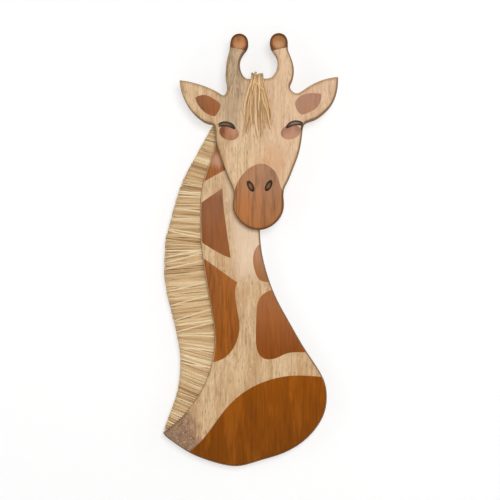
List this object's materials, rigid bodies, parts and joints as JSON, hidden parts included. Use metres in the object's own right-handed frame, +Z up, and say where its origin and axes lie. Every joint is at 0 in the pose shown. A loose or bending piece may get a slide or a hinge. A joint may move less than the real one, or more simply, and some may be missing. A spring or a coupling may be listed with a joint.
{
  "type": "carved wooden giraffe wall plaque",
  "caption": "Flat carved giraffe head and neck in light wood with darker inlaid patches, straw mane and raffia forelock, hung on a wall by a ring.",
  "frame": {"origin": "the point inside the hanger ring's crown where the wall hook carries it, in the plane of the wall", "axes": "+Z up the wall, +X to the viewer's right, +Y into the wall; the carved face looks along -Y"},
  "size_m": [0.242, 0.04, 0.5989],
  "materials": {
    "light_wood": "satin lacquer over pale mango wood",
    "dark_wood": "satin lacquer over red-brown wood",
    "ply": "raw thin plywood",
    "dowel": "raw beech",
    "straw": "dry natural straw",
    "steel": "zinc plated",
    "felt": "dark felt"
  },
  "bodies": {
    "plaque": {"neck_board": "light_wood", "neck_spot_nape": "dark_wood", "neck_spot_upper": "dark_wood", "neck_spot_middle": "dark_wood", "neck_spot_throat": "dark_wood", "neck_spot_side": "dark_wood", "neck_spot_chest": "dark_wood", "head_board": "light_wood", "muzzle": "dark_wood", "ear_inlay_left": "dark_wood", "ear_inlay_right": "dark_wood", "eye_inlay_left": "dark_wood", "eye_inlay_right": "dark_wood", "horn_tip_left": "dark_wood", "horn_tip_right": "dark_wood", "horn_dowels": "dowel", "muzzle_dowels": "dowel", "head_screws": "steel", "muzzle_screws": "steel", "mane_backing": "ply", "mane_straw": "straw", "mane_tacks": "steel", "forelock": "straw", "forelock_staple": "steel", "hanger_strap": "steel", "hanger_screws": "steel", "wall_pad_left": "felt", "wall_pad_right": "felt"},
    "ring": {"hanger_ring": "steel"}
  },
  "joints": [
    {"name": "ring_swing", "type": "hinge", "parent": "plaque", "child": "ring", "pos_m": [0, -0.0029, -0.013], "axis": [-1, 0, 0], "range_deg": [0, 165]}
  ]
}
